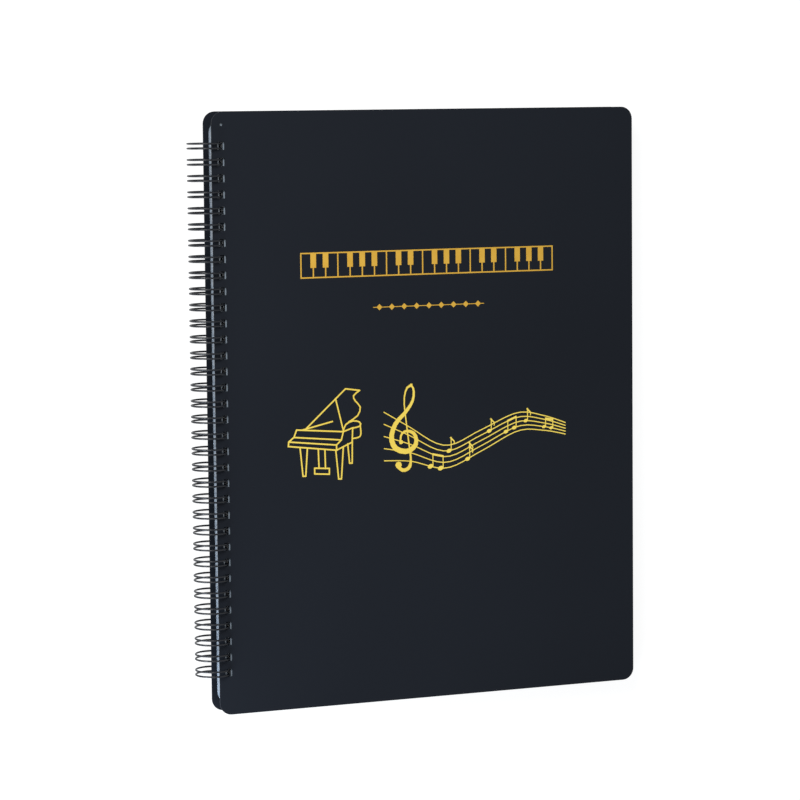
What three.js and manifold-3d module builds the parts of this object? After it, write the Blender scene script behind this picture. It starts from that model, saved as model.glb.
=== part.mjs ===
// A wire-bound music folder for A4 sheets, lying flat on its back cover.
// The binding wire's turns share one axis, along Y. The top edge of the folder looks along +Y,
// the opening edge along +X, and the front of the folder looks up.
import * as THREE from 'three';
import { mergeVertices } from 'three/addons/utils/BufferGeometryUtils.js';
import Module from 'manifold-3d';

const wasm = await Module();
wasm.setup();

// Driving sizes, in millimetres.
const cover_width = 245;
const cover_height = 320;
const cover_thickness = 0.8;
const cover_corner_radius = 6.5;
const folder_thickness = 14; // over the outsides of both covers

// Wire binding: three loops to the inch, through 34 holes.
const binding_margin = 17; // least cover beyond the first and the last loop
const loop_pitch = 8.467;
const loop_row_rise = 2.3; // the row of loops sits this far above the middle of the covers
const loop_width = 2.5; // between the middles of a loop's two wires
const ring_radius = 9.25; // to the middle of the wire
const wire_diameter = 1;
const seam_lift = 0.25; // the loops spread this far above the back cover
const seam_clearance = 0.4; // between a loop's tip and the bends that it nests in

// Square holes in the covers, and the slots in the sleeves.
const hole_length = 4;
const hole_edge_distance = 5.2; // spine edge to the middle of a hole
const side_clearance = 0.3; // each side of a loop in its hole
const slot_play = 0.9; // from the wire to the spine end of a sleeve's slot
const corner_hole_diameter = 1.8;
const corner_hole_from_spine = 5.5;
const corner_hole_from_top = 6.8;

// Stack of clear sleeves.
const sleeve_count = 20;
const sleeve_height = 310;
const sleeve_corner_radius = 6;
const sleeve_spine_inset = 1.8;
const sleeve_front_inset = 4.5;
const sleeve_air_gap = 0.12; // between two sleeves
const sleeve_clearance = 0.3; // to the covers and the wire
const margin_ramp = 12; // where the last sleeves rise over the wire's seam
const margin_weld = 2; // from the foot of the ramp to the pockets

// Printed figures on the front cover, placed from the middle of the cover.
const foil_thickness = 0.08;
const keyboard_width = 147;
const keyboard_height = 13;
const keyboard_rise = 77.9;
const keyboard_line = 0.7;
const octave_count = 3;
const sharp_width = 3.2;
const sharp_length = 7.8;
const rule_width = 65;
const rule_rise = 54.4;
const rule_line = 0.4;
const diamond_count = 9;
const diamond_size = 3.4;
const piano_left = -82;
const piano_base = -37.5;
const piano_line = 0.8;
const line_overrun = 0.27; // share of its width by which a line runs past its ends
const staff_left = -27;
const staff_line = 0.55;
const staff_line_count = 5;
const staff_steps = 28; // straight pieces in each of its curved lines
const clef_from_left = 12.5;
const clef_rise = 7; // its curl above the second line of the staff
const note_stem = 0.5;

const finest_step = 0.03; // no two points of a printed outline lie closer
const flatness = 0.01; // a bend in it that swings less is straight
const least_window = 0.05; // area below which a gap in the print closes up

// Sizes that follow.
const wire_radius = wire_diameter / 2;
const binding_room = cover_height - 2 * (binding_margin + Math.abs(loop_row_rise));
const loop_count = Math.floor(binding_room / loop_pitch) + 1;
const half_stack = folder_thickness / 2;
const cover_middle = half_stack - cover_thickness / 2;
const hole_offset = Math.sqrt(ring_radius ** 2 - cover_middle ** 2);
const spine_edge = hole_offset - hole_edge_distance;
const front_edge = spine_edge + cover_width;
const hole_width = loop_width + wire_diameter + 2 * side_clearance;
const block_half = half_stack - cover_thickness - sleeve_clearance;
const bend_radius = (loop_pitch - loop_width) / 2;
const tip_radius = loop_width / 2;
const seam_angle = -Math.asin((half_stack - cover_thickness - seam_lift) / ring_radius);
const bend_top_angle = seam_angle + bend_radius / ring_radius;
const nest_distance = bend_radius + tip_radius + wire_diameter + seam_clearance;
const tip_stop = Math.sqrt(nest_distance ** 2 - (loop_pitch / 2) ** 2);

const cover_plastic = new THREE.MeshStandardMaterial({ color: 0x20242a, roughness: 0.5, metalness: 0 });
const black_wire = new THREE.MeshStandardMaterial({ color: 0x15171b, roughness: 0.35, metalness: 0.5 });
const clear_film = new THREE.MeshStandardMaterial({ color: 0xc6d3df, roughness: 0.25, metalness: 0 });
const gold_foil = new THREE.MeshStandardMaterial({ color: 0xdcb742, roughness: 0.3, metalness: 0.8 });
const gold_ink = new THREE.MeshStandardMaterial({ color: 0xc39632, roughness: 0.5, metalness: 0.2 });

function solidOf(geometry) {
  const bare = geometry.clone();
  bare.deleteAttribute('normal');
  bare.deleteAttribute('uv');
  const merged = mergeVertices(bare, 1e-5);
  const vertProperties = Float32Array.from(merged.attributes.position.array);
  const triVerts = Uint32Array.from(merged.index.array);
  return new wasm.Manifold(new wasm.Mesh({ numProp: 3, vertProperties, triVerts }));
}

function geometryOf(solid) {
  const mesh = solid.getMesh();
  const geometry = new THREE.BufferGeometry();
  geometry.setAttribute('position', new THREE.BufferAttribute(mesh.vertProperties, 3));
  geometry.setIndex(new THREE.BufferAttribute(mesh.triVerts, 1));
  geometry.computeVertexNormals();
  return geometry;
}

function unionOf(solids) {
  return solids.reduce((whole, solid) => whole.add(solid));
}

// A flat sheet between two heights, cut to an outline in the XY plane.
function sheet(outline, low, high) {
  const geometry = new THREE.ExtrudeGeometry(outline, {
    depth: high - low,
    bevelEnabled: false,
    curveSegments: 4,
  });
  return geometry.translate(0, 0, low);
}

function block(low, high) {
  const size = new THREE.Vector3().subVectors(high, low);
  const middle = new THREE.Vector3().addVectors(high, low).multiplyScalar(0.5);
  return solidOf(new THREE.BoxGeometry(size.x, size.y, size.z).translate(middle.x, middle.y, middle.z));
}

function roundedOutline(left, right, half_height, radius) {
  const outline = new THREE.Shape();
  outline.moveTo(left + radius, -half_height);
  outline.lineTo(right - radius, -half_height);
  outline.absarc(right - radius, radius - half_height, radius, -Math.PI / 2, 0);
  outline.lineTo(right, half_height - radius);
  outline.absarc(right - radius, half_height - radius, radius, 0, Math.PI / 2);
  outline.lineTo(left + radius, half_height);
  outline.absarc(left + radius, half_height - radius, radius, Math.PI / 2, Math.PI);
  outline.lineTo(left, radius - half_height);
  outline.absarc(left + radius, radius - half_height, radius, Math.PI, Math.PI * 1.5);
  return outline;
}

function rectangle(left, right, low, high) {
  const path = new THREE.Path();
  path.moveTo(left, low);
  path.lineTo(left, high);
  path.lineTo(right, high);
  path.lineTo(right, low);
  path.closePath();
  return path;
}

// Where each loop stands along the spine.
const loop_rows = Array.from(
  { length: loop_count },
  (_, k) => loop_row_rise + (k - (loop_count - 1) / 2) * loop_pitch,
);

function coverOutline() {
  const outline = roundedOutline(spine_edge, front_edge, cover_height / 2, cover_corner_radius);
  const left = hole_offset - hole_length / 2;
  for (const y of loop_rows) {
    outline.holes.push(rectangle(left, left + hole_length, y - hole_width / 2, y + hole_width / 2));
  }
  return outline;
}

function backCover() {
  return sheet(coverOutline(), -half_stack, cover_thickness - half_stack);
}

// The front cover has one more small round hole by its top corner.
function frontCover() {
  const outline = coverOutline();
  const corner_hole = new THREE.Path();
  const x = spine_edge + corner_hole_from_spine;
  const y = cover_height / 2 - corner_hole_from_top;
  corner_hole.absarc(x, y, corner_hole_diameter / 2, 0, Math.PI * 2, true);
  outline.holes.push(corner_hole);
  return sheet(outline, half_stack - cover_thickness, half_stack);
}

// How far along X the wire reaches, each way, where it crosses a height.
function wireSpan(z) {
  const middle = Math.sqrt(ring_radius ** 2 - z ** 2);
  const reach = wire_radius * ring_radius / middle;
  return [middle - reach, middle + reach];
}

// The sleeves are welded into one margin at the spine, which the wire runs through, and lie
// free of each other from there to the opening edge.
function sleeveStack() {
  const left = spine_edge + sleeve_spine_inset;
  const right = front_edge - sleeve_front_inset;
  const seam_top = ring_radius * Math.sin(bend_top_angle) + wire_radius * Math.cos(bend_top_angle);
  const margin_bottom = seam_top + sleeve_clearance;
  const slot_left = wireSpan(block_half)[0] - slot_play;
  const slot_right = ring_radius + wire_radius + sleeve_clearance;
  const ramp_foot = slot_right + margin_ramp;
  const side = new THREE.Shape([
    new THREE.Vector2(left, block_half),
    new THREE.Vector2(left, margin_bottom),
    new THREE.Vector2(slot_right, margin_bottom),
    new THREE.Vector2(ramp_foot, -block_half),
    new THREE.Vector2(right, -block_half),
    new THREE.Vector2(right, block_half),
  ]);
  const length = new THREE.ExtrudeGeometry(side, { depth: sleeve_height, bevelEnabled: false });
  length.rotateX(Math.PI / 2).translate(0, sleeve_height / 2, 0);
  const outline = roundedOutline(left, right, sleeve_height / 2, sleeve_corner_radius);
  let stack = solidOf(length).intersect(solidOf(sheet(outline, -half_stack, half_stack)));
  const slots = loop_rows.map((y) => block(
    new THREE.Vector3(slot_left, y - hole_width / 2, -half_stack),
    new THREE.Vector3(slot_right, y + hole_width / 2, half_stack),
  ));
  stack = stack.subtract(unionOf(slots));
  const pocket_left = ramp_foot + margin_weld;
  const sleeve_pitch = 2 * block_half / sleeve_count;
  for (let k = 1; k < sleeve_count; k += 1) {
    const z = k * sleeve_pitch - block_half;
    stack = stack.subtract(block(
      new THREE.Vector3(pocket_left, -cover_height, z - sleeve_air_gap / 2),
      new THREE.Vector3(front_edge, cover_height, z + sleeve_air_gap / 2),
    ));
  }
  return geometryOf(stack);
}

// The wire's course on the unrolled surface of the ring, as [angle round the ring, y].
// It runs down from a bend, all the way round to the loop's tip, back, and into the next bend.
function wireCourse() {
  const turn_step = Math.PI / 6;
  const last_angle = seam_angle - 2 * Math.PI + tip_stop / ring_radius;
  const stops = [];
  for (let step = -1; step * turn_step > last_angle; step -= 1) {
    if (step * turn_step < seam_angle) {
      stops.push(step * turn_step);
    }
  }
  const bend = (y, radius, from, to, base) => [0, 1, 2].map((part) => {
    const angle = from + (to - from) * part / 2;
    return [base + radius * Math.sin(angle) / ring_radius, y + radius * Math.cos(angle)];
  });
  const course = [];
  for (const y of loop_rows) {
    const low = y - tip_radius;
    const high = y + tip_radius;
    course.push(...bend(y - loop_pitch / 2, bend_radius, Math.PI / 2, 0, seam_angle));
    course.push(...stops.map((angle) => [angle, low]));
    course.push(...bend(y, tip_radius, Math.PI, Math.PI * 1.5, last_angle));
    course.push(...bend(y, tip_radius, Math.PI * 1.5, Math.PI * 2, last_angle).slice(1));
    course.push(...stops.slice().reverse().map((angle) => [angle, high]));
    course.push(...bend(y + loop_pitch / 2, bend_radius, Math.PI, Math.PI / 2, seam_angle));
    course.pop();
  }
  const last_y = loop_rows[loop_count - 1] + loop_pitch / 2;
  course.push([bend_top_angle, last_y]);
  return course;
}

// A path given by its corners, whose section always keeps one side turned away from the ring's axis.
class WirePath extends THREE.Curve {
  constructor(course) {
    super();
    this.points = course.map(([angle, y]) => new THREE.Vector3(
      ring_radius * Math.cos(angle),
      y,
      ring_radius * Math.sin(angle),
    ));
    this.outward = course.map(([angle]) => new THREE.Vector3(Math.cos(angle), 0, Math.sin(angle)));
  }

  getSpacedPoints() {
    return this.points;
  }

  computeFrenetFrames() {
    const last = this.points.length - 1;
    const tangents = this.points.map((point, k) => {
      const before = this.points[Math.max(k - 1, 0)];
      const after = this.points[Math.min(k + 1, last)];
      const forward = after.clone().sub(point).normalize();
      const backward = point.clone().sub(before).normalize();
      const along = forward.add(backward);
      return along.addScaledVector(this.outward[k], -along.dot(this.outward[k])).normalize();
    });
    const binormals = tangents.map((tangent, k) => tangent.clone().cross(this.outward[k]));
    return { tangents, normals: this.outward, binormals };
  }
}

function bindingWire() {
  const section = new THREE.Shape([
    new THREE.Vector2(wire_radius, 0),
    new THREE.Vector2(0, wire_radius),
    new THREE.Vector2(-wire_radius, 0),
    new THREE.Vector2(0, -wire_radius),
  ]);
  const path = new WirePath(wireCourse());
  return new THREE.ExtrudeGeometry(section, { steps: path.points.length - 1, extrudePath: path });
}

// A printed line along points [x, y], as wide as a number or a function of the share of its length.
function line(points, width) {
  const widthAt = typeof width === 'number' ? () => width : width;
  const corners = points.map(([x, y]) => new THREE.Vector2(x, y));
  const last = corners.length - 1;
  // Each end runs a little past its point, so that lines that meet there overlap well.
  const start = corners[0].clone().sub(corners[1]).setLength(line_overrun * widthAt(0));
  const finish = corners[last].clone().sub(corners[last - 1]).setLength(line_overrun * widthAt(1));
  corners[0].add(start);
  corners[last].add(finish);
  const left = [];
  const right = [];
  corners.forEach((corner, k) => {
    const forward = corners[Math.min(k + 1, last)].clone().sub(corners[Math.min(k, last - 1)]).normalize();
    const backward = corners[Math.max(k, 1)].clone().sub(corners[Math.max(k - 1, 0)]).normalize();
    const along = forward.clone().add(backward).normalize();
    const half = widthAt(k / last) / 2 / Math.max(along.dot(forward), 0.5);
    left.push(new THREE.Vector2(corner.x - along.y * half, corner.y + along.x * half));
    right.unshift(new THREE.Vector2(corner.x + along.y * half, corner.y - along.x * half));
  });
  return solidOf(sheet(new THREE.Shape([...left, ...right]), 0, foil_thickness));
}

function smooth(points, steps) {
  const curve = new THREE.SplineCurve(points.map(([x, y]) => new THREE.Vector2(x, y)));
  return curve.getPoints(steps).map((point) => [point.x, point.y]);
}

function field(left, right, low, high) {
  return block(new THREE.Vector3(left, low, 0), new THREE.Vector3(right, high, foil_thickness));
}

// A filled oval, turned by an angle.
function oval(x, y, half_width, half_height, turn) {
  const outline = new THREE.Shape();
  outline.absellipse(x, y, half_width, half_height, 0, Math.PI * 2, false, turn);
  return solidOf(sheet(outline, 0, foil_thickness));
}

// The loops round the upper face of a flat solid, as lists of points.
function outlineLoops(solid) {
  const { triVerts, vertProperties } = solid.getMesh();
  const edges = new Map();
  for (let first = 0; first < triVerts.length; first += 3) {
    const corners = [triVerts[first], triVerts[first + 1], triVerts[first + 2]];
    if (corners.some((corner) => vertProperties[3 * corner + 2] < foil_thickness / 2)) {
      continue;
    }
    corners.forEach((from, k) => {
      const to = corners[(k + 1) % 3];
      if (!edges.delete(`${to} ${from}`)) {
        edges.set(`${from} ${to}`, [from, to]);
      }
    });
  }
  const next = new Map(edges.values());
  const loops = [];
  while (next.size > 0) {
    const loop = [];
    let corner = next.keys().next().value;
    while (next.has(corner)) {
      loop.push(new THREE.Vector2(vertProperties[3 * corner], vertProperties[3 * corner + 1]));
      const following = next.get(corner);
      next.delete(corner);
      corner = following;
    }
    loops.push(loop);
  }
  return loops;
}

// A loop without the points that nearly meet, or that lie on a straight stretch of it.
function tidyLoop(loop) {
  const kept = [...loop];
  let k = 0;
  while (k < kept.length && kept.length > 3) {
    const last = kept[(k + kept.length - 1) % kept.length];
    const next = kept[(k + 1) % kept.length];
    const span = next.clone().sub(last);
    const swing = Math.abs(span.cross(kept[k].clone().sub(last)));
    const straight = swing < flatness * Math.max(span.length(), finest_step);
    if (straight || last.distanceTo(kept[k]) < finest_step) {
      kept.splice(k, 1);
      k = Math.max(k - 1, 0);
    } else {
      k += 1;
    }
  }
  return kept;
}

// Triangles over an outline with windows. One whose middle corner lies on its long side is
// traded with its neighbour over that side for two sound ones.
function soundFaces(outline, windows) {
  const points = [outline, ...windows].flat();
  const faces = THREE.ShapeUtils.triangulateShape(outline, windows);
  const side = (face, k) => points[face[(k + 1) % 3]].distanceTo(points[face[(k + 2) % 3]]);
  const isSliver = (face) => {
    const area = Math.abs(THREE.ShapeUtils.area(face.map((corner) => points[corner])));
    return 2 * area < flatness * Math.max(side(face, 0), side(face, 1), side(face, 2));
  };
  for (let round = 0; round < faces.length; round += 1) {
    const found = faces.findIndex(isSliver);
    if (found < 0) {
      break;
    }
    const face = faces[found];
    const lengths = [0, 1, 2].map((k) => side(face, k));
    const k = lengths.indexOf(Math.max(...lengths));
    const [middle, from, to] = [face[k], face[(k + 1) % 3], face[(k + 2) % 3]];
    const sharesSide = (each, place) => place !== found && each.includes(from) && each.includes(to);
    const other = faces.findIndex(sharesSide);
    if (other < 0) {
      break;
    }
    const far = faces[other].find((corner) => corner !== from && corner !== to);
    faces[found] = [middle, from, far];
    faces[other] = [middle, far, to];
  }
  return { points, faces };
}

// Joined lines, traced afresh as one flat sheet with windows.
function tracedPrint(pieces) {
  const loops = outlineLoops(unionOf(pieces)).map(tidyLoop);
  const areas = loops.map((loop) => THREE.ShapeUtils.area(loop));
  const outline = loops[areas.indexOf(Math.max(...areas))];
  const windows = loops.filter((loop, k) => areas[k] < -least_window);
  const { points, faces } = soundFaces(outline, windows);
  const low = points.flatMap((point) => [point.x, point.y, 0]);
  const high = points.flatMap((point) => [point.x, point.y, foil_thickness]);
  const lift = points.length;
  const indices = faces.flatMap(([a, b, c]) => [c, b, a, a + lift, b + lift, c + lift]);
  let first = 0;
  for (const loop of [outline, ...windows]) {
    loop.forEach((point, k) => {
      const a = first + k;
      const b = first + (k + 1) % loop.length;
      indices.push(a, b, b + lift, a, b + lift, a + lift);
    });
    first += loop.length;
  }
  const geometry = new THREE.BufferGeometry();
  geometry.setAttribute('position', new THREE.Float32BufferAttribute([...low, ...high], 3));
  geometry.setIndex(indices);
  geometry.computeVertexNormals();
  return geometry;
}

// A band of piano keys in outline: one field with a clear window for each white key, and the
// sharps left standing between the windows.
function keyboardPrint() {
  const key_count = 7 * octave_count;
  const key_width = keyboard_width / key_count;
  const half = keyboard_width / 2;
  const top = keyboard_height / 2;
  const rail = keyboard_line / 2;
  const plate = field(-half - rail, half + rail, -top - rail, top + rail);
  // No sharp stands at either end of an octave or between its third and fourth keys.
  const edgeOfSharp = (key) => (key % 7 === 0 || key % 7 === 3 ? rail : sharp_width / 2);
  const windows = [];
  for (let key = 0; key < key_count; key += 1) {
    const left = key * key_width - half;
    const right = left + key_width;
    const from = left + edgeOfSharp(key);
    const to = right - edgeOfSharp(key + 1);
    windows.push(block(
      new THREE.Vector3(left + rail, rail - top, -foil_thickness),
      new THREE.Vector3(right - rail, top - sharp_length, 2 * foil_thickness),
    ));
    windows.push(block(
      new THREE.Vector3(from, rail - top + keyboard_line, -foil_thickness),
      new THREE.Vector3(to, top - rail, 2 * foil_thickness),
    ));
  }
  return geometryOf(plate.subtract(unionOf(windows)));
}

// A thin rule strung with small diamonds.
function rulePrint() {
  const half = rule_line / 2;
  const reach = diamond_size / 2;
  const upper = [new THREE.Vector2(-rule_width / 2, half)];
  for (let k = 0; k < diamond_count; k += 1) {
    const x = (k + 0.5) / diamond_count * rule_width - rule_width / 2;
    upper.push(new THREE.Vector2(x - reach + half, half));
    upper.push(new THREE.Vector2(x, reach));
    upper.push(new THREE.Vector2(x + reach - half, half));
  }
  upper.push(new THREE.Vector2(rule_width / 2, half));
  const lower = upper.map((point) => new THREE.Vector2(-point.x, -point.y));
  return sheet(new THREE.Shape([...upper, ...lower]), 0, foil_thickness);
}

// A grand piano seen from the keyboard side with its lid up, drawn in lines.
// Its points are counted from the lower left corner of the figure.
const piano_lines = [
  [[3.2, 24.1], [0.2, 21.8], [0, 19.4], [27.5, 16], [27.5, 18.8]],
  [[0.2, 21.8], [27.5, 18.8], [30.3, 21.4]],
  [[4.8, 28], [3.2, 24.1], [30.3, 21.4]],
  [[4.8, 28], [31.5, 25.8], [30.3, 21.4]],
  [[31.5, 25.8], [36.9, 27.6], [36.5, 19.9], [27.5, 16]],
  [[8, 27.8], [25.4, 31.6]],
  [[27.2, 43.9], [31.6, 26]],
  [[9.4, 27.7], [33, 48.8], [41.2, 47.6]],
  [[6.6, 18.7], [8.1, 3], [9.7, 3], [10.8, 18.2]],
  [[27, 16.3], [28.5, 0.4], [30.1, 0.4], [31.4, 17.8]],
  [[33.9, 19.2], [34.9, 8.6], [36.4, 8.6], [36.6, 20.4]],
  [[17, 17.4], [17.3, 6.6]],
  [[20.8, 16.9], [21, 6.3]],
  [[14.8, 7], [23.2, 6.4], [23.2, 3.3]],
  [[14.8, 7], [14.8, 3.9], [23.2, 3.3]],
];
const piano_curves = [
  [[41.2, 47.6], [37.6, 44.9], [38.6, 42], [41.4, 38.6], [39.8, 34], [34.6, 30.9]],
  [[31.4, 26], [33, 29.6], [37, 31.3], [40.8, 30.6], [41.3, 28.4], [36.8, 27.4]],
  [[41.2, 29], [41.6, 24.4], [40.4, 22.4], [36.6, 21.8]],
];

function pianoPrint() {
  const pieces = piano_lines.map((points) => line(points, piano_line));
  pieces.push(...piano_curves.map((points) => line(smooth(points, 10), piano_line)));
  return tracedPrint(pieces);
}

// The staff's middle line, and how its half height narrows along it, both from its left end.
const staff_course = [
  [0, -15.5], [15, -20.4], [36, -28.4], [57, -20.6], [79, -11.4], [95, -12.8], [108, -16.4],
];
const staff_spread = [[0, 13.2], [18, 8.6], [36, 6.2], [58, 5.8], [80, 5], [108, 3.2]];

function valueAlong(points, x) {
  const curve = smooth(points, 60);
  const next = Math.max(curve.findIndex((point) => point[0] >= x - 0.01), 1);
  const [[x0, y0], [x1, y1]] = [curve[next - 1], curve[next]];
  return y0 + (y1 - y0) * (x - x0) / (x1 - x0);
}

// Height on the staff: -1 is its lowest line and 1 its highest.
function staffHeight(x, level) {
  return valueAlong(staff_course, x) + level * valueAlong(staff_spread, x);
}

function staffLine(level) {
  const length = staff_course[staff_course.length - 1][0];
  const points = Array.from({ length: staff_steps + 1 }, (_, k) => {
    const x = length * k / staff_steps;
    return [x, staffHeight(x, level)];
  });
  return line(points, staff_line);
}

// A treble clef, counted from the middle of its curl.
function clef() {
  const rise = [
    [-3, -2.4], [-2.4, 2.6], [1.2, 4.3], [5.4, 2.2], [6, -3.2], [1.2, -6.8],
    [-5.6, -5], [-8.2, 1], [-5.8, 8.4], [0.4, 14.8], [4.4, 20.6], [5, 26.4], [3.3, 29.5],
  ];
  const fall = [
    [3.9, 28.9], [1, 27.4], [-0.6, 21], [0.4, 10], [1.9, -2],
    [3, -11], [2, -15.6], [-1.6, -17], [-4.6, -14.8],
  ];
  const swell = (share) => 1 + 1.9 * Math.sin(Math.PI * share) ** 2;
  const tail = (share) => 1.9 - 1.2 * Math.sin(Math.PI * Math.min(share * 1.4, 1)) ** 0.5;
  return [
    line(smooth(rise, 30), swell),
    line(smooth(fall, 18), tail),
    oval(-4.2, -14, 1.9, 1.9, 0),
    oval(-2.6, -1.6, 1.2, 1.2, 0),
  ];
}

// Notes as [distance along the staff, level of the head, stem length, flags or reach of the beam].
const single_notes = [[38, 0.5, 7.4, 1], [49, -1, 9, 2], [62, 0.5, 6.8, 1], [84, 0, 6.8, 1]];
const beamed_notes = [[27, -1, 7, 6], [72, -0.5, 6.4, 5], [95, -0.5, 5, 4.4]];

function noteHead(x, y, size) {
  return oval(x, y, size, size * 0.72, 0.35);
}

function notes() {
  const pieces = [];
  for (const [x, level, stem, flags] of single_notes) {
    const y = staffHeight(x, level);
    const size = 0.55 + valueAlong(staff_spread, x) / 6;
    const stem_x = x + size - note_stem;
    pieces.push(noteHead(x, y, size));
    pieces.push(field(stem_x, stem_x + note_stem, y, y + stem));
    for (let k = 0; k < flags; k += 1) {
      const top = y + stem - 1.8 * k;
      const flag = [
        [stem_x, top - 0.2], [stem_x + 1.2, top - 1.6], [stem_x + 2.2, top - 2.4], [stem_x + 1.9, top - 4],
      ];
      pieces.push(line(smooth(flag, 4), (share) => 0.9 - 0.5 * share));
    }
  }
  for (const [x, level, stem, reach] of beamed_notes) {
    const size = 0.55 + valueAlong(staff_spread, x) / 6;
    const ends = [x, x + reach].map((place) => {
      const y = staffHeight(place, level);
      const stem_x = place + size - note_stem;
      pieces.push(noteHead(place, y, size));
      pieces.push(field(stem_x, stem_x + note_stem, y, y + stem));
      return [stem_x + note_stem / 2, y + stem - 0.5];
    });
    pieces.push(line(ends, 1.1));
  }
  return pieces;
}

function staffPrint() {
  const levels = Array.from({ length: staff_line_count }, (_, k) => 2 * k / (staff_line_count - 1) - 1);
  const pieces = levels.map((level) => staffLine(level));
  const clef_height = staffHeight(clef_from_left, levels[1]) + clef_rise;
  pieces.push(...clef().map((piece) => piece.translate([clef_from_left, clef_height, 0])));
  pieces.push(...notes());
  return tracedPrint(pieces);
}

const group = new THREE.Group();
const folder = new THREE.Group();
const print = new THREE.Group();

function addMesh(parent, name, geometry, material) {
  const mesh = new THREE.Mesh(geometry, material);
  mesh.name = name;
  parent.add(mesh);
  return mesh;
}

addMesh(folder, 'back_cover', backCover(), cover_plastic);
addMesh(folder, 'front_cover', frontCover(), cover_plastic);
addMesh(folder, 'sleeves', sleeveStack(), clear_film);
addMesh(folder, 'binding_wire', bindingWire(), black_wire);

// The prints lie on the front cover, round its middle.
print.position.set((spine_edge + front_edge) / 2, 0, half_stack);
folder.add(print);
addMesh(print, 'keyboard_print', keyboardPrint(), gold_ink).position.y = keyboard_rise;
addMesh(print, 'rule_print', rulePrint(), gold_ink).position.y = rule_rise;
addMesh(print, 'piano_print', pianoPrint(), gold_foil).position.set(piano_left, piano_base, 0);
addMesh(print, 'staff_print', staffPrint(), gold_foil).position.x = staff_left;

// The wire touches the table, and the folder is centred over the origin.
const ring_reach = ring_radius + wire_radius;
folder.position.set((ring_reach - front_edge) / 2, 0, ring_reach);
group.add(folder);

export default group;
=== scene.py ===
# %% [markdown]
# This notebook dresses a wire-bound music folder: two black plastic covers, a stack of clear
# sleeves, one long black wire and gold prints. The imported model already stands in the scene, in
# metres, with each moving body in its place. It is loaded first, and the boxes of its parts give
# the sizes of what is added. Nothing that is added here may make the folder any larger.

import math

import bmesh
import bpy
import numpy as np
from mathutils import Matrix, Vector


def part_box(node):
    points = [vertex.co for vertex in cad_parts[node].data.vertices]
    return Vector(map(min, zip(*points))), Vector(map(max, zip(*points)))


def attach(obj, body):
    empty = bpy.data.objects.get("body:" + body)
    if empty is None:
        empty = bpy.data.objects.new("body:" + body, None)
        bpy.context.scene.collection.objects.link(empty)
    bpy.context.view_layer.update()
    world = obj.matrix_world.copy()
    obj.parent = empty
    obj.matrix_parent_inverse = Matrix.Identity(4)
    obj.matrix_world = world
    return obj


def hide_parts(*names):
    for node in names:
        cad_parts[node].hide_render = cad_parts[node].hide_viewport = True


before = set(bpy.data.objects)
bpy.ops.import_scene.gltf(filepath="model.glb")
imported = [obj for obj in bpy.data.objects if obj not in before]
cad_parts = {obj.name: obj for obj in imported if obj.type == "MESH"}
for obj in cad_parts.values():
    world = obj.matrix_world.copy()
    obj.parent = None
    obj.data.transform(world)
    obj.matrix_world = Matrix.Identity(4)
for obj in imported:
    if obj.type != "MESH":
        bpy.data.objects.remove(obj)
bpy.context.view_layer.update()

# %% [markdown]
# Every size comes from the model's own boxes, or repeats a named size of the folder. The wire's
# box is as high as one of its rings, so it gives the ring's axis and radius. The front cover's
# box gives the spine edge and the height of the face that the viewer sees.

# %% Read the folder's main places
MM = 0.001
WIRE_RADIUS = 0.5 * MM
WIRE_LOW, WIRE_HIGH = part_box("binding_wire")
COVER_LOW, COVER_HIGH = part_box("front_cover")
SLEEVES_LOW, SLEEVES_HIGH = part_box("sleeves")
RING_REACH = (WIRE_HIGH.z - WIRE_LOW.z) / 2
RING_RADIUS = RING_REACH - WIRE_RADIUS
AXIS_X = WIRE_LOW.x + RING_REACH
AXIS_Z = WIRE_LOW.z + RING_REACH
SPINE_X = COVER_LOW.x
print("ring radius %.2f mm, axis at x %.2f mm" % (RING_RADIUS / MM, AXIS_X / MM))

# %% [markdown]
# Shader sums read best as sums. A small class holds one output socket and turns each Python
# operator into a Math node. Any other node comes from one method that takes the node's type, its
# settings and its inputs.

# %% A wrapper for shader sockets
class Value:
    def __init__(self, finish, socket):
        self.finish = finish
        self.socket = socket

    def maths(self, operation, left, right=0.0):
        return self.finish.node("ShaderNodeMath", {"operation": operation}, {0: left, 1: right})

    def __add__(self, other):
        return self.maths("ADD", self, other)

    def __radd__(self, other):
        return self.maths("ADD", other, self)

    def __sub__(self, other):
        return self.maths("SUBTRACT", self, other)

    def __rsub__(self, other):
        return self.maths("SUBTRACT", other, self)

    def __mul__(self, other):
        return self.maths("MULTIPLY", self, other)

    def __rmul__(self, other):
        return self.maths("MULTIPLY", other, self)

    def __lt__(self, other):
        return self.maths("LESS_THAN", self, other)

    def __abs__(self):
        return self.maths("ABSOLUTE", self)

    def wave(self):
        return self.maths("SINE", self)

    def or_more(self, other):
        return self.maths("MAXIMUM", self, other)


# %% A finish that is built from expressions
class Finish:
    def __init__(self, owner, end="ShaderNodeOutputMaterial"):
        owner.use_nodes = True
        self.owner = owner
        self.tree = owner.node_tree
        self.tree.nodes.clear()
        self.end = self.tree.nodes.new(end)

    def node(self, kind, settings, inputs, output=0):
        made = self.tree.nodes.new(kind)
        for name, value in settings.items():
            setattr(made, name, value)
        for key, value in inputs.items():
            if isinstance(value, Value):
                self.tree.links.new(value.socket, made.inputs[key])
            else:
                made.inputs[key].default_value = value
        return Value(self, made.outputs[output])

    def surface(self, shader):
        self.tree.links.new(shader.socket, self.end.inputs["Surface"])
        return self.owner


def new_finish(name):
    return Finish(bpy.data.materials.new(name))


# %% [markdown]
# Four short helpers cover nearly all that the finishes need: soft random spots, a blend of two
# colours, fine relief, and the surface itself. Spots are counted in the piece's own space, so
# they stay on the cover when it swings.

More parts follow.
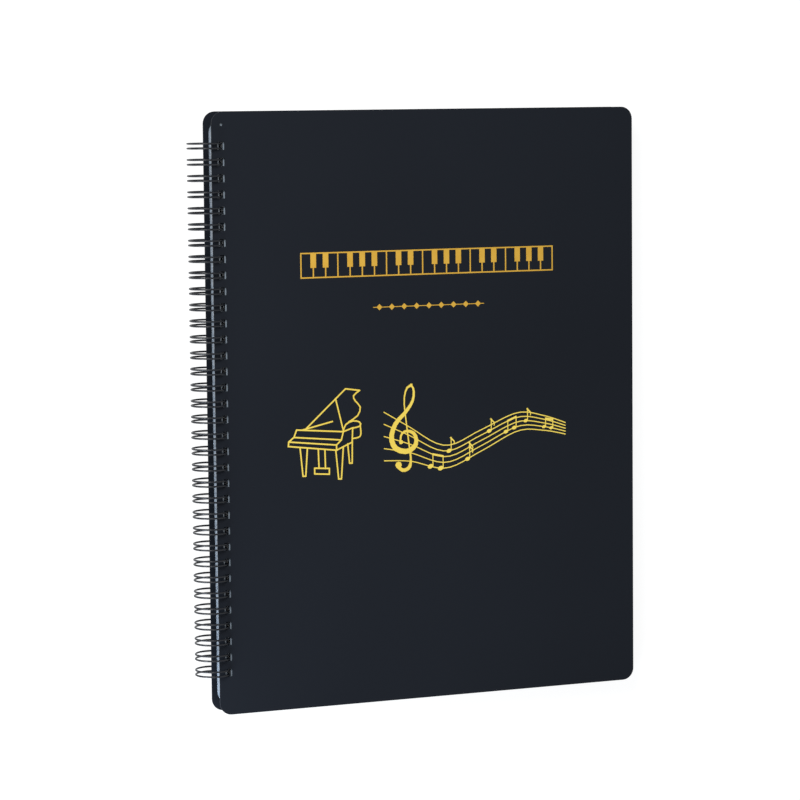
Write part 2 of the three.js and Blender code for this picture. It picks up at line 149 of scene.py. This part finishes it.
# %% Helpers for finishes
def spots(finish, scale, detail=3.0, roughness=0.5):
    place = finish.node("ShaderNodeTexCoord", {}, {}, "Object")
    inputs = {"Vector": place, "Scale": scale, "Detail": detail, "Roughness": roughness}
    return finish.node("ShaderNodeTexNoise", {}, inputs)


def blend(finish, share, first, second):
    return finish.node("ShaderNodeMix", {"data_type": "RGBA"}, {0: share, 6: first, 7: second}, 2)


def relief(finish, height, depth, strength):
    inputs = {"Height": height, "Distance": depth, "Strength": strength}
    return finish.node("ShaderNodeBump", {}, inputs)


def solid_surface(finish, **inputs):
    named = {key.replace("_", " "): value for key, value in inputs.items()}
    return finish.surface(finish.node("ShaderNodeBsdfPrincipled", {}, named))


def colour(red, green, blue):
    """A linear colour from the 0 to 255 values that a screen shows."""
    def linear(value):
        share = value / 255
        return share / 12.92 if share <= 0.04045 else ((share + 0.055) / 1.055) ** 2.4

    return (linear(red), linear(green), linear(blue), 1.0)


# %% [markdown]
# The camera stands where the photograph's stood. Its angles are counted for a folder that
# stands upright and faces the viewer: turned to the side, a little above, and tilted by half a
# degree. The folder lies here, so the same view becomes one from above.

# %% Set up the camera
VIEW_SIDE = math.radians(22.307)
VIEW_RISE = math.radians(5.557)
VIEW_ROLL = math.radians(-0.578)
VIEW_DISTANCE = 1644.9 * MM
VIEW_RIGHT = 97.09 * MM
VIEW_UP = 8.64 * MM
FRAME_PIXELS = 800
FOCAL_PIXELS = 3121.4
SENSOR_WIDTH = 36.0


def lying(x, depth, height):
    """A direction of the upright folder, turned to the folder as it lies."""
    return Vector((x, height, -depth))


def aim_camera():
    back = lying(
        -math.sin(VIEW_SIDE) * math.cos(VIEW_RISE),
        -math.cos(VIEW_SIDE) * math.cos(VIEW_RISE),
        math.sin(VIEW_RISE),
    )
    level = lying(math.cos(VIEW_SIDE), -math.sin(VIEW_SIDE), 0)
    upright = back.cross(level)
    right = math.cos(VIEW_ROLL) * level + math.sin(VIEW_ROLL) * upright
    up = back.cross(right)
    origin = Vector((SPINE_X, 0, COVER_HIGH.z))
    centre = origin + VIEW_RIGHT * right + VIEW_UP * up + VIEW_DISTANCE * back
    data = bpy.data.cameras.new("camera")
    data.sensor_width = SENSOR_WIDTH
    data.lens = FOCAL_PIXELS / FRAME_PIXELS * SENSOR_WIDTH
    camera = bpy.data.objects.new("camera", data)
    axes = Matrix((right, up, back)).transposed().to_4x4()
    camera.matrix_world = Matrix.Translation(centre) @ axes
    bpy.context.scene.collection.objects.link(camera)
    bpy.context.scene.camera = camera
    return camera


camera = aim_camera()
bpy.context.scene.view_settings.view_transform = "Standard"
print("camera at", [round(value, 3) for value in camera.location], "lens", round(camera.data.lens, 1))

# %% [markdown]
# A white floor would need far too much light to render white, and the folder would then be
# washed out. So the floor and the room glow for the eye and for mirrors, and are plain and pale
# for every other ray. The floor still takes the folder's soft shadow.

# %% Lay the floor
FLOOR_SIZE = 8.0
FLOOR_GLOW = 0.75
GLOW_STRENGTH = 1.2


def seen(finish):
    """1 for what the camera sees, straight or in a mirror."""
    straight = finish.node("ShaderNodeLightPath", {}, {}, "Is Camera Ray")
    mirrored = finish.node("ShaderNodeLightPath", {}, {}, "Is Glossy Ray")
    return straight + mirrored


def lay_floor():
    finish = new_finish("pale floor")
    plain = finish.node("ShaderNodeBsdfDiffuse", {}, {"Color": (0.86, 0.87, 0.88, 1)})
    glow = finish.node("ShaderNodeEmission", {}, {"Strength": GLOW_STRENGTH})
    share = seen(finish) * FLOOR_GLOW
    finish.surface(finish.node("ShaderNodeMixShader", {}, {0: share, 1: plain, 2: glow}))
    half = FLOOR_SIZE / 2
    mesh = bpy.data.meshes.new("floor")
    corners = [(-half, -half, 0), (half, -half, 0), (half, half, 0), (-half, half, 0)]
    mesh.from_pydata(corners, [], [(0, 1, 2, 3)])
    mesh.materials.append(finish.owner)
    floor = bpy.data.objects.new("floor", mesh)
    bpy.context.scene.collection.objects.link(floor)
    return floor


floor = lay_floor()
print("the floor is", FLOOR_SIZE, "m wide")

# %% [markdown]
# A near lamp at the upper left makes the covers fade towards their lower right corner. A low
# bluish lamp looks in along the spine and finds the sleeves' edges. The sky fills in the rest,
# and its level is plain, so that each colour shows about as it is written.

# %% Light the room
SKY_STRENGTH = 0.3


def light_sky():
    finish = Finish(bpy.data.worlds.new("pale room"), "ShaderNodeOutputWorld")
    tint = {"Color": (0.94, 0.97, 1.0, 1), "Strength": SKY_STRENGTH}
    dim = finish.node("ShaderNodeBackground", {}, tint)
    white = finish.node("ShaderNodeBackground", {}, {"Color": (1, 1, 1, 1)})
    finish.surface(finish.node("ShaderNodeMixShader", {}, {0: seen(finish), 1: dim, 2: white}))
    bpy.context.scene.world = finish.owner


def hang_lamp(name, place, target, size, power, tint):
    data = bpy.data.lights.new(name, "AREA")
    data.shape = "RECTANGLE"
    data.size, data.size_y = size
    data.energy = power
    data.color = tint
    lamp = bpy.data.objects.new(name, data)
    lamp.location = place
    lamp.rotation_euler = (Vector(target) - Vector(place)).to_track_quat("-Z", "Y").to_euler()
    bpy.context.scene.collection.objects.link(lamp)
    print(name, "gives", power, "W")


light_sky()
hang_lamp("key lamp", (-0.55, 0.5, 0.7), (-0.05, 0.05, 0), (0.5, 0.5), 8.5, (1.0, 0.99, 0.97))
hang_lamp("spine lamp", (-0.36, -0.34, 0.1), (-0.12, -0.14, 0.01), (0.18, 0.1), 2.5, (0.8, 0.89, 1.0))

# %% [markdown]
# The covers are matte polypropylene with a fine sprayed grain, almost black with a cold blue
# tone. The tone drifts a little over the sheet, and faint rubbed patches are slightly smoother.
# The gloss is set lower than on a real sheet, because this room is white to every mirror ray
# and would lay a grey veil over a dark surface.

# %% The covers' plastic
COVER_DARK = colour(22, 25, 31)
COVER_PALE = colour(30, 34, 41)


def cover_plastic():
    finish = new_finish("matte black polypropylene")
    grain = spots(finish, 1900.0, 2.0)
    rubbed = spots(finish, 38.0, 5.0, 0.62)
    return solid_surface(
        finish,
        Base_Color=blend(finish, spots(finish, 5.0, 2.0), COVER_DARK, COVER_PALE),
        Roughness=0.5 + 0.1 * (rubbed - 0.5),
        Normal=relief(finish, grain, 0.06 * MM, 0.35),
        Specular_IOR_Level=0.06,
    )


# %% [markdown]
# The wire is steel in a black plastic coat. The coat has a soft gloss, so it shows as a thin
# pale line along a dark round wire.

# %% The wire's coat
def wire_coat():
    finish = new_finish("black coated wire")
    speck = spots(finish, 420.0)
    return solid_surface(
        finish,
        Base_Color=blend(finish, speck, colour(7, 10, 15), colour(13, 18, 27)),
        Roughness=0.3 + 0.12 * speck,
        Normal=relief(finish, speck, 0.02 * MM, 0.3),
        Specular_IOR_Level=0.3,
        Coat_Weight=0.05,
    )


# %% [markdown]
# Empty sleeves of clear film look milky and blue-grey when they lie in a stack. Each has a weld
# along its margin, its foot and its outer edge, which shows as a line of small dimples. The
# welds are found by their distance from the model's own edges.

# %% The sleeves' film
WELD_INSET = 3.0 * MM
WELD_WIDTH = 1.2 * MM
DIMPLE_PITCH = 1.5 * MM
MARGIN_X = AXIS_X + 24.05 * MM


def sleeve_film():
    finish = new_finish("clear sleeve film")
    place = finish.node("ShaderNodeTexCoord", {}, {}, "Object")
    x = finish.node("ShaderNodeSeparateXYZ", {}, {0: place}, "X")
    y = finish.node("ShaderNodeSeparateXYZ", {}, {0: place}, "Y")
    margin = abs(x - MARGIN_X) < WELD_WIDTH / 2
    front = abs(x - (SLEEVES_HIGH.x - WELD_INSET)) < WELD_WIDTH / 2
    foot = abs(y - (SLEEVES_LOW.y + WELD_INSET)) < WELD_WIDTH / 2
    welds = margin.or_more(front).or_more(foot)
    step = 2 * math.pi / DIMPLE_PITCH
    dimples = welds * ((x * step).wave() + (y * step).wave())
    haze = spots(finish, 9.0, 4.0, 0.6)
    ripple = spots(finish, 26.0, 2.0)
    tone = blend(finish, haze, colour(116, 128, 141), colour(146, 158, 170))
    return solid_surface(
        finish,
        Base_Color=blend(finish, welds * 0.5, tone, colour(182, 194, 206)),
        Roughness=0.18 + 0.12 * haze + 0.2 * welds,
        Normal=relief(finish, 0.6 * ripple + 0.12 * dimples, 0.5 * MM, 0.5),
        Coat_Weight=0.3,
    )


# %% [markdown]
# There are two golds. The band of keys and the rule are printed in flat ochre ink. The piano and
# the staff are stamped in bright foil, which mirrors the room and breaks up in tiny flecks.

# %% The gold foil and the gold ink
def gold_foil():
    finish = new_finish("stamped gold foil")
    fleck = spots(finish, 900.0)
    sweep = spots(finish, 30.0, 2.0)
    return solid_surface(
        finish,
        Base_Color=blend(finish, sweep, colour(222, 186, 62), colour(250, 230, 112)),
        Roughness=0.3 + 0.16 * fleck,
        Normal=relief(finish, fleck, 0.03 * MM, 0.4),
        Metallic=0.75,
    )


def gold_ink():
    finish = new_finish("flat gold ink")
    mottle = spots(finish, 160.0, 4.0)
    return solid_surface(
        finish,
        Base_Color=blend(finish, mottle, colour(202, 154, 50), colour(222, 178, 74)),
        Roughness=0.45 + 0.1 * mottle,
        Metallic=0.1,
        Specular_IOR_Level=0.2,
    )


def dress(node, material):
    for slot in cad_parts[node].material_slots:
        slot.material = material


foil = gold_foil()
ink = gold_ink()
dress("piano_print", foil)
dress("staff_print", foil)
dress("keyboard_print", ink)
dress("rule_print", ink)
print("four prints dressed in", foil.name, "and", ink.name)

# %% [markdown]
# A die-cut plastic sheet has edges that are slightly rounded, and the thin line of light along
# them is what tells the sheet from a painted rectangle. The cover's own mesh is copied, its
# flat faces are joined up again, and every sharp edge gets a small bevel.

# %% Round the edges of the covers
EDGE_BEVEL = 0.22 * MM
SAME_POINT = 0.001 * MM
FLAT_ANGLE = math.radians(1)
SHARP_ANGLE = 1.0
plastic = cover_plastic()


def softened_cover(node, body):
    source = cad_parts[node]
    mesh = source.data.copy()
    mesh.name = node + "_sheet"
    made = bmesh.new()
    made.from_mesh(mesh)
    bmesh.ops.remove_doubles(made, verts=made.verts, dist=SAME_POINT)
    bmesh.ops.dissolve_limit(
        made, angle_limit=FLAT_ANGLE, verts=made.verts, edges=made.edges,
    )
    pairs = [edge for edge in made.edges if len(edge.link_faces) == 2]
    sharp = [edge for edge in pairs if edge.calc_face_angle() > SHARP_ANGLE]
    bmesh.ops.bevel(
        made, geom=sharp, offset=EDGE_BEVEL, segments=2, profile=0.5, affect="EDGES",
        clamp_overlap=True,
    )
    bmesh.ops.triangulate(made, faces=[face for face in made.faces if len(face.verts) > 4])
    made.to_mesh(mesh)
    made.free()
    mesh.materials.clear()
    mesh.materials.append(plastic)
    piece = bpy.data.objects.new(node + "_sheet", mesh)
    bpy.context.scene.collection.objects.link(piece)
    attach(piece, body)
    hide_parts(node)
    print(piece.name, len(mesh.polygons), "faces")
    return piece


softened_cover("front_cover", "front")
softened_cover("back_cover", "back")

# %% [markdown]
# The binding is one wire. It runs up and round through each hole as a narrow double loop, and
# wide bends between the loops join them on the inside of the back cover, where the loops' tips
# close. On the ring's unrolled surface the whole course is flat: straight runs and half circles.
# So it is drawn flat, rolled up, and given a round section.

# %% Draw the wire's course
LOOP_COUNT = 34
LOOP_PITCH = 8.467 * MM
LOOP_RISE = 2.3 * MM
LOOP_WIDTH = 2.5 * MM
SEAM_CLEARANCE = 0.4 * MM
BACK_INNER = AXIS_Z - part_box("back_cover")[1].z
SEAM_LIFT = 0.25 * MM
TURN_STEP = math.radians(7.5)
BEND_STEPS = 8

LOOP_ROWS = [LOOP_RISE + (k - (LOOP_COUNT - 1) / 2) * LOOP_PITCH for k in range(LOOP_COUNT)]
BEND_RADIUS = (LOOP_PITCH - LOOP_WIDTH) / 2
TIP_RADIUS = LOOP_WIDTH / 2
SEAM_ANGLE = -math.asin((BACK_INNER - SEAM_LIFT) / RING_RADIUS)
NEST = BEND_RADIUS + TIP_RADIUS + 2 * WIRE_RADIUS + SEAM_CLEARANCE
TIP_STOP = math.sqrt(NEST ** 2 - (LOOP_PITCH / 2) ** 2)


def half_circle(y, radius, start, end, base):
    stations = []
    for k in range(BEND_STEPS + 1):
        angle = start + (end - start) * k / BEND_STEPS
        stations.append((base + radius * math.sin(angle) / RING_RADIUS, y + radius * math.cos(angle)))
    return stations


def wire_course():
    last = SEAM_ANGLE - 2 * math.pi + TIP_STOP / RING_RADIUS
    turns = math.ceil((SEAM_ANGLE - last) / TURN_STEP)
    stops = [SEAM_ANGLE + (last - SEAM_ANGLE) * k / turns for k in range(1, turns)]
    course = []
    for y in LOOP_ROWS:
        course += half_circle(y - LOOP_PITCH / 2, BEND_RADIUS, math.pi / 2, 0, SEAM_ANGLE)
        course += [(angle, y - TIP_RADIUS) for angle in stops]
        course += half_circle(y, TIP_RADIUS, math.pi, 2 * math.pi, last)
        course += [(angle, y + TIP_RADIUS) for angle in reversed(stops)]
        course += half_circle(y + LOOP_PITCH / 2, BEND_RADIUS, math.pi, math.pi / 2, SEAM_ANGLE)[:-1]
    course.append((SEAM_ANGLE + BEND_RADIUS / RING_RADIUS, LOOP_ROWS[-1] + LOOP_PITCH / 2))
    return np.array(course)


course = wire_course()
print("the wire passes", len(course), "stations")

# %% Roll it up and give it a round section
WIRE_SIDES = 10


def round_wire(course):
    angle, y = course[:, 0], course[:, 1]
    outward = np.stack([np.cos(angle), np.zeros_like(angle), np.sin(angle)], axis=1)
    points = outward * RING_RADIUS + np.array([AXIS_X, 0, AXIS_Z])
    points[:, 1] = y
    along = np.gradient(points, axis=0)
    along /= np.linalg.norm(along, axis=1, keepdims=True)
    along -= outward * np.sum(along * outward, axis=1, keepdims=True)
    along /= np.linalg.norm(along, axis=1, keepdims=True)
    across = np.cross(along, outward)
    verts = []
    for side in range(WIRE_SIDES):
        turn = 2 * math.pi * side / WIRE_SIDES
        verts.append(points + WIRE_RADIUS * (outward * math.cos(turn) + across * math.sin(turn)))
    verts = np.stack(verts, axis=1).reshape(-1, 3)
    faces = []
    for k in range(len(points) - 1):
        for side in range(WIRE_SIDES):
            a = k * WIRE_SIDES + side
            b = k * WIRE_SIDES + (side + 1) % WIRE_SIDES
            faces.append((a, b, b + WIRE_SIDES, a + WIRE_SIDES))
    faces.append(tuple(reversed(range(WIRE_SIDES))))
    faces.append(tuple(range(len(verts) - WIRE_SIDES, len(verts))))
    return verts, faces


def add_piece(name, verts, faces, material, body, node, smooth):
    mesh = bpy.data.meshes.new(name)
    mesh.from_pydata([tuple(point) for point in verts], [], faces)
    mesh.validate()
    made = bmesh.new()
    made.from_mesh(mesh)
    bmesh.ops.recalc_face_normals(made, faces=made.faces)
    made.to_mesh(mesh)
    made.free()
    mesh.polygons.foreach_set("use_smooth", [smooth] * len(mesh.polygons))
    mesh.materials.append(material)
    piece = bpy.data.objects.new(name, mesh)
    bpy.context.scene.collection.objects.link(piece)
    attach(piece, body)
    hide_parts(node)
    print(name, len(mesh.vertices), "points")
    return piece


wire_verts, wire_faces = round_wire(course)
coat = wire_coat()
add_piece("twin_loop_wire", wire_verts, wire_faces, coat, "binding", "binding_wire", True)

# %% [markdown]
# The sleeves are twenty separate sheets of folded film. At the spine only their thin margins
# lie on each other, and the last ones climb over the wire's seam. From the welds outwards they
# lie flat and evenly spaced. Each is a sheet of quads on a grid of lines, with the cells of its
# slots left out, its outer corners drawn in, and a wall along every edge.

# %% How the sleeves lie
SLEEVE_COUNT = 20
SLEEVE_FILL = 0.62
HOLE_WIDTH = 4.1 * MM
SLOT_PLAY = 0.15 * MM
SLOT_LEFT = AXIS_X + 5.57 * MM
MARGIN_END = AXIS_X + RING_REACH + 0.3 * MM
RAMP_FOOT = MARGIN_END + 12.0 * MM
MARGIN_LOW = AXIS_Z - 2.63 * MM


def sleeve_height(k, x):
    """The height of the sleeve stack at a column, counted in sleeves from the lowest."""
    low = SLEEVES_LOW.z + (SLEEVES_HIGH.z - SLEEVES_LOW.z) * k / SLEEVE_COUNT
    share = min(max((RAMP_FOOT - x) / (RAMP_FOOT - MARGIN_END), 0.0), 1.0)
    pressed = MARGIN_LOW + (SLEEVES_HIGH.z - MARGIN_LOW) * k / SLEEVE_COUNT
    return low + (pressed - low) * share


def slot_end(k):
    """A slot ends just outside the wire, and the wire's place depends on the sleeve's height."""
    rise = sleeve_height(k + 0.5, MARGIN_END) - AXIS_Z
    return AXIS_X + math.sqrt(RING_RADIUS ** 2 - rise ** 2) + WIRE_RADIUS + SLOT_PLAY


print("slots end %.2f mm from the axis at the top sleeve" % ((slot_end(SLEEVE_COUNT - 1) - AXIS_X) / MM))

# %% Lay out one sleeve's grid
CORNER_RADIUS = 6.0 * MM
CORNER_STEPS = 5


def sleeve_columns(k):
    low, high = SLEEVES_LOW.x, SLEEVES_HIGH.x
    turns = [math.pi / 2 * step / CORNER_STEPS for step in range(CORNER_STEPS + 1)]
    curve = [CORNER_RADIUS * (1 - math.cos(turn)) for turn in turns]
    columns = [low + step for step in curve] + [high - step for step in curve]
    columns += [SLOT_LEFT, slot_end(k), MARGIN_END, RAMP_FOOT, (RAMP_FOOT + high) / 2]
    return sorted(columns)


def sleeve_rows():
    low, high = SLEEVES_LOW.y, SLEEVES_HIGH.y
    rows = [low, low + CORNER_RADIUS, high - CORNER_RADIUS, high]
    for y in LOOP_ROWS:
        rows += [y - HOLE_WIDTH / 2, y + HOLE_WIDTH / 2]
    return sorted(rows)


def corner_pull(x):
    """How far the sheet's end draws back from its full height at a column."""
    edge = min(x - SLEEVES_LOW.x, SLEEVES_HIGH.x - x)
    if edge >= CORNER_RADIUS:
        return 0.0
    return CORNER_RADIUS - math.sqrt(CORNER_RADIUS ** 2 - (CORNER_RADIUS - edge) ** 2)


def is_slot(k, x, y):
    in_row = any(abs(y - row) < HOLE_WIDTH / 2 for row in LOOP_ROWS)
    return in_row and SLOT_LEFT < x < slot_end(k)


rows = sleeve_rows()
print(len(sleeve_columns(0)), "columns and", len(rows), "rows in each sleeve")

# %% Stack the sleeves
def sleeve_points(k):
    points = []
    for level in (0.0, SLEEVE_FILL):
        for j, y in enumerate(rows):
            for x in sleeve_columns(k):
                pull = corner_pull(x) if j in (0, len(rows) - 1) else 0.0
                points.append((x, y + pull if j == 0 else y - pull, sleeve_height(k + level, x)))
    return points


def sleeve_cells(k):
    """Both faces of a sheet, and a wall along every edge that only one cell has."""
    columns = sleeve_columns(k)
    wide = len(columns)
    layer = wide * len(rows)
    faces, edges = [], set()
    for j in range(len(rows) - 1):
        for i in range(wide - 1):
            if is_slot(k, (columns[i] + columns[i + 1]) / 2, (rows[j] + rows[j + 1]) / 2):
                continue
            a = 2 * layer * k + j * wide + i
            cell = (a, a + 1, a + 1 + wide, a + wide)
            faces.append(tuple(reversed(cell)))
            faces.append(tuple(corner + layer for corner in cell))
            for edge in zip(cell, cell[1:] + cell[:1]):
                if edge[::-1] in edges:
                    edges.remove(edge[::-1])
                else:
                    edges.add(edge)
    return faces + [(a, b, b + layer, a + layer) for a, b in sorted(edges)]


sleeve_verts = [point for k in range(SLEEVE_COUNT) for point in sleeve_points(k)]
sleeve_faces = [face for k in range(SLEEVE_COUNT) for face in sleeve_cells(k)]
film = sleeve_film()
add_piece("clear_sleeves", sleeve_verts, sleeve_faces, film, "binding", "sleeves", False)
